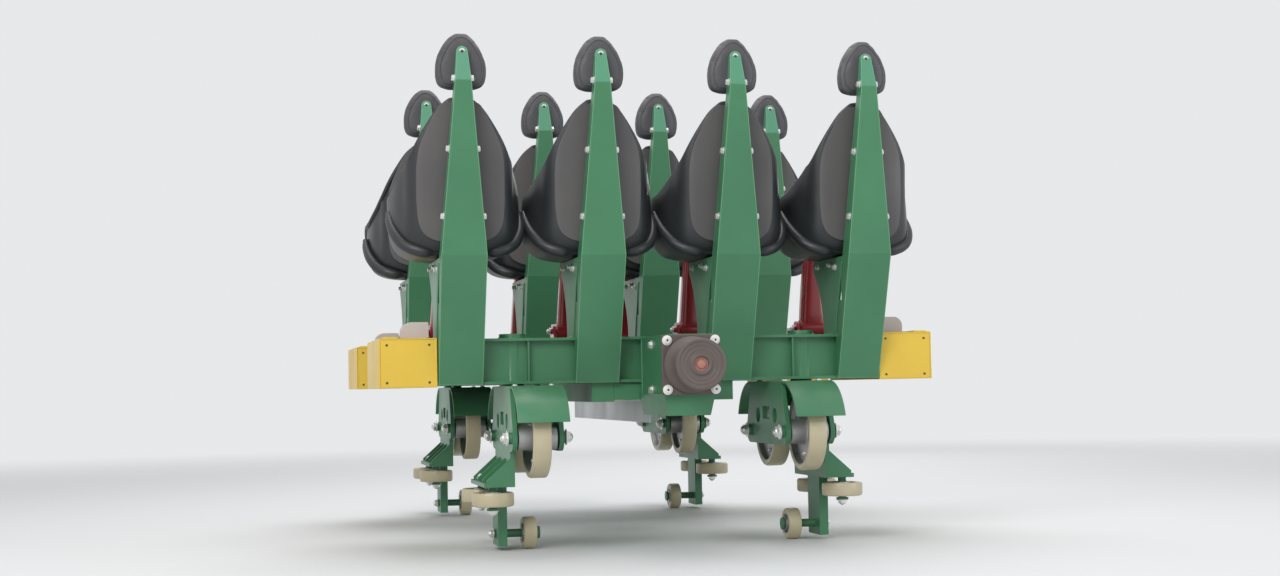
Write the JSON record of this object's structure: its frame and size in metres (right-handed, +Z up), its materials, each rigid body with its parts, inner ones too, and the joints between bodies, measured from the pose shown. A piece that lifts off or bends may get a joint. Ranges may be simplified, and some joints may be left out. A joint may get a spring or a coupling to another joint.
{
  "type": "roller coaster car",
  "caption": "Roller coaster car with rows of bucket seats on tapered posts, lap bars, side boxes, swivelling wheel carriers round both rails, a rear buffer and a front drawbar.",
  "frame": {"origin": "middle of the car's bounding box, at the lowest point of the upstop wheels", "axes": "+X to the riders' right, +Y the way the car runs, +Z up"},
  "size_m": [2.5, 4.2559, 2.2266],
  "materials": {
    "frame_green": "satin",
    "box_yellow": "satin",
    "bar_red": "gloss",
    "bar_dark": "satin",
    "floor_grey": "checker plate",
    "fin_steel": "brushed",
    "shell_grey": "satin",
    "bucket_black": "gloss",
    "headrest_grey": "integral skin foam",
    "pad_pale": "satin",
    "plate_brown": "matte",
    "buffer_rubber": "matte",
    "wheel_urethane": "satin"
  },
  "bodies": {
    "car": {"rear_crossbeam": "frame_green", "middle_crossbeam": "frame_green", "front_axle_beam": "frame_green", "long_rails": "frame_green", "cross_ties": "frame_green", "lap_beams": "frame_green", "floor_pans": "floor_grey", "brake_fin": "fin_steel", "side_boxes": "box_yellow", "box_pads": "pad_pale", "seat_brackets": "frame_green", "lap_pivots": "bar_red", "coupling_stub": "frame_green", "buffer_plate": "plate_brown", "buffer": "buffer_rubber", "drawbar_clevis": "frame_green", "rear_posts": "frame_green", "rear_seat_shells": "shell_grey", "rear_buckets": "bucket_black", "rear_headrests": "headrest_grey", "front_posts": "frame_green", "front_seat_shells": "shell_grey", "front_buckets": "bucket_black", "front_headrests": "headrest_grey"},
    "drawbar": {"drawbar": "bar_dark"},
    "rear_lap_bar_1": {"rear_lap_bar_1": "bar_red"},
    "rear_lap_bar_2": {"rear_lap_bar_2": "bar_red"},
    "rear_lap_bar_3": {"rear_lap_bar_3": "bar_red"},
    "rear_lap_bar_4": {"rear_lap_bar_4": "bar_red"},
    "front_lap_bar_1": {"front_lap_bar_1": "bar_red"},
    "front_lap_bar_2": {"front_lap_bar_2": "bar_red"},
    "front_lap_bar_3": {"front_lap_bar_3": "bar_red"},
    "front_lap_bar_4": {"front_lap_bar_4": "bar_red"},
    "rear_left_carrier": {"rear_left_carrier": "frame_green"},
    "rear_left_road_wheel_a": {"rear_left_road_wheel_a": "wheel_urethane"},
    "rear_left_road_wheel_b": {"rear_left_road_wheel_b": "wheel_urethane"},
    "rear_left_guide_wheel_a": {"rear_left_guide_wheel_a": "wheel_urethane"},
    "rear_left_guide_wheel_b": {"rear_left_guide_wheel_b": "wheel_urethane"},
    "rear_left_upstop_wheel": {"rear_left_upstop_wheel": "wheel_urethane"},
    "rear_right_carrier": {"rear_right_carrier": "frame_green"},
    "rear_right_road_wheel_a": {"rear_right_road_wheel_a": "wheel_urethane"},
    "rear_right_road_wheel_b": {"rear_right_road_wheel_b": "wheel_urethane"},
    "rear_right_guide_wheel_a": {"rear_right_guide_wheel_a": "wheel_urethane"},
    "rear_right_guide_wheel_b": {"rear_right_guide_wheel_b": "wheel_urethane"},
    "rear_right_upstop_wheel": {"rear_right_upstop_wheel": "wheel_urethane"},
    "front_left_carrier": {"front_left_carrier": "frame_green"},
    "front_left_road_wheel_a": {"front_left_road_wheel_a": "wheel_urethane"},
    "front_left_road_wheel_b": {"front_left_road_wheel_b": "wheel_urethane"},
    "front_left_guide_wheel_a": {"front_left_guide_wheel_a": "wheel_urethane"},
    "front_left_guide_wheel_b": {"front_left_guide_wheel_b": "wheel_urethane"},
    "front_left_upstop_wheel": {"front_left_upstop_wheel": "wheel_urethane"},
    "front_right_carrier": {"front_right_carrier": "frame_green"},
    "front_right_road_wheel_a": {"front_right_road_wheel_a": "wheel_urethane"},
    "front_right_road_wheel_b": {"front_right_road_wheel_b": "wheel_urethane"},
    "front_right_guide_wheel_a": {"front_right_guide_wheel_a": "wheel_urethane"},
    "front_right_guide_wheel_b": {"front_right_guide_wheel_b": "wheel_urethane"},
    "front_right_upstop_wheel": {"front_right_upstop_wheel": "wheel_urethane"}
  },
  "joints": [
    {"name": "drawbar_swing", "type": "hinge", "parent": "car", "child": "drawbar", "pos_m": [0, 1.222, 0.786], "axis": [0, 0, 1], "range_deg": [-15, 15]},
    {"name": "rear_lap_bar_1_hinge", "type": "hinge", "parent": "car", "child": "rear_lap_bar_1", "pos_m": [-0.9, -0.738, 0.968], "axis": [-1, 0, 0], "range_deg": [0, 35]},
    {"name": "rear_lap_bar_2_hinge", "type": "hinge", "parent": "car", "child": "rear_lap_bar_2", "pos_m": [-0.3, -0.738, 0.968], "axis": [-1, 0, 0], "range_deg": [0, 35]},
    {"name": "rear_lap_bar_3_hinge", "type": "hinge", "parent": "car", "child": "rear_lap_bar_3", "pos_m": [0.3, -0.738, 0.968], "axis": [-1, 0, 0], "range_deg": [0, 35]},
    {"name": "rear_lap_bar_4_hinge", "type": "hinge", "parent": "car", "child": "rear_lap_bar_4", "pos_m": [0.9, -0.738, 0.968], "axis": [-1, 0, 0], "range_deg": [0, 35]},
    {"name": "front_lap_bar_1_hinge", "type": "hinge", "parent": "car", "child": "front_lap_bar_1", "pos_m": [-0.9, 0.802, 0.968], "axis": [-1, 0, 0], "range_deg": [0, 35]},
    {"name": "front_lap_bar_2_hinge", "type": "hinge", "parent": "car", "child": "front_lap_bar_2", "pos_m": [-0.3, 0.802, 0.968], "axis": [-1, 0, 0], "range_deg": [0, 35]},
    {"name": "front_lap_bar_3_hinge", "type": "hinge", "parent": "car", "child": "front_lap_bar_3", "pos_m": [0.3, 0.802, 0.968], "axis": [-1, 0, 0], "range_deg": [0, 35]},
    {"name": "front_lap_bar_4_hinge", "type": "hinge", "parent": "car", "child": "front_lap_bar_4", "pos_m": [0.9, 0.802, 0.968], "axis": [-1, 0, 0], "range_deg": [0, 35]},
    {"name": "rear_left_carrier_swivel", "type": "hinge", "parent": "car", "child": "rear_left_carrier", "pos_m": [-0.66, -1.328, 0.66], "axis": [0, 0, 1], "range_deg": [-8, 8]},
    {"name": "rear_left_road_wheel_a_spin", "type": "hinge", "parent": "rear_left_carrier", "child": "rear_left_road_wheel_a", "pos_m": [-0.6, -1.598, 0.49], "axis": [1, 0, 0], "continuous": true},
    {"name": "rear_left_road_wheel_b_spin", "type": "hinge", "parent": "rear_left_carrier", "child": "rear_left_road_wheel_b", "pos_m": [-0.6, -1.058, 0.49], "axis": [1, 0, 0], "continuous": true},
    {"name": "rear_left_guide_wheel_a_spin", "type": "hinge", "parent": "rear_left_carrier", "child": "rear_left_guide_wheel_a", "pos_m": [-0.78, -1.518, 0.23], "axis": [0, 0, 1], "continuous": true},
    {"name": "rear_left_guide_wheel_b_spin", "type": "hinge", "parent": "rear_left_carrier", "child": "rear_left_guide_wheel_b", "pos_m": [-0.78, -1.138, 0.23], "axis": [0, 0, 1], "continuous": true},
    {"name": "rear_left_upstop_wheel_spin", "type": "hinge", "parent": "rear_left_carrier", "child": "rear_left_upstop_wheel", "pos_m": [-0.6, -1.328, 0.07], "axis": [1, 0, 0], "continuous": true},
    {"name": "rear_right_carrier_swivel", "type": "hinge", "parent": "car", "child": "rear_right_carrier", "pos_m": [0.66, -1.328, 0.66], "axis": [0, 0, 1], "range_deg": [-8, 8]},
    {"name": "rear_right_road_wheel_a_spin", "type": "hinge", "parent": "rear_right_carrier", "child": "rear_right_road_wheel_a", "pos_m": [0.6, -1.598, 0.49], "axis": [1, 0, 0], "continuous": true},
    {"name": "rear_right_road_wheel_b_spin", "type": "hinge", "parent": "rear_right_carrier", "child": "rear_right_road_wheel_b", "pos_m": [0.6, -1.058, 0.49], "axis": [1, 0, 0], "continuous": true},
    {"name": "rear_right_guide_wheel_a_spin", "type": "hinge", "parent": "rear_right_carrier", "child": "rear_right_guide_wheel_a", "pos_m": [0.78, -1.518, 0.23], "axis": [0, 0, 1], "continuous": true},
    {"name": "rear_right_guide_wheel_b_spin", "type": "hinge", "parent": "rear_right_carrier", "child": "rear_right_guide_wheel_b", "pos_m": [0.78, -1.138, 0.23], "axis": [0, 0, 1], "continuous": true},
    {"name": "rear_right_upstop_wheel_spin", "type": "hinge", "parent": "rear_right_carrier", "child": "rear_right_upstop_wheel", "pos_m": [0.6, -1.328, 0.07], "axis": [1, 0, 0], "continuous": true},
    {"name": "front_left_carrier_swivel", "type": "hinge", "parent": "car", "child": "front_left_carrier", "pos_m": [-0.66, 1.022, 0.66], "axis": [0, 0, 1], "range_deg": [-8, 8]},
    {"name": "front_left_road_wheel_a_spin", "type": "hinge", "parent": "front_left_carrier", "child": "front_left_road_wheel_a", "pos_m": [-0.6, 0.752, 0.49], "axis": [1, 0, 0], "continuous": true},
    {"name": "front_left_road_wheel_b_spin", "type": "hinge", "parent": "front_left_carrier", "child": "front_left_road_wheel_b", "pos_m": [-0.6, 1.292, 0.49], "axis": [1, 0, 0], "continuous": true},
    {"name": "front_left_guide_wheel_a_spin", "type": "hinge", "parent": "front_left_carrier", "child": "front_left_guide_wheel_a", "pos_m": [-0.78, 0.832, 0.23], "axis": [0, 0, 1], "continuous": true},
    {"name": "front_left_guide_wheel_b_spin", "type": "hinge", "parent": "front_left_carrier", "child": "front_left_guide_wheel_b", "pos_m": [-0.78, 1.212, 0.23], "axis": [0, 0, 1], "continuous": true},
    {"name": "front_left_upstop_wheel_spin", "type": "hinge", "parent": "front_left_carrier", "child": "front_left_upstop_wheel", "pos_m": [-0.6, 1.022, 0.07], "axis": [1, 0, 0], "continuous": true},
    {"name": "front_right_carrier_swivel", "type": "hinge", "parent": "car", "child": "front_right_carrier", "pos_m": [0.66, 1.022, 0.66], "axis": [0, 0, 1], "range_deg": [-8, 8]},
    {"name": "front_right_road_wheel_a_spin", "type": "hinge", "parent": "front_right_carrier", "child": "front_right_road_wheel_a", "pos_m": [0.6, 0.752, 0.49], "axis": [1, 0, 0], "continuous": true},
    {"name": "front_right_road_wheel_b_spin", "type": "hinge", "parent": "front_right_carrier", "child": "front_right_road_wheel_b", "pos_m": [0.6, 1.292, 0.49], "axis": [1, 0, 0], "continuous": true},
    {"name": "front_right_guide_wheel_a_spin", "type": "hinge", "parent": "front_right_carrier", "child": "front_right_guide_wheel_a", "pos_m": [0.78, 0.832, 0.23], "axis": [0, 0, 1], "continuous": true},
    {"name": "front_right_guide_wheel_b_spin", "type": "hinge", "parent": "front_right_carrier", "child": "front_right_guide_wheel_b", "pos_m": [0.78, 1.212, 0.23], "axis": [0, 0, 1], "continuous": true},
    {"name": "front_right_upstop_wheel_spin", "type": "hinge", "parent": "front_right_carrier", "child": "front_right_upstop_wheel", "pos_m": [0.6, 1.022, 0.07], "axis": [1, 0, 0], "continuous": true}
  ]
}
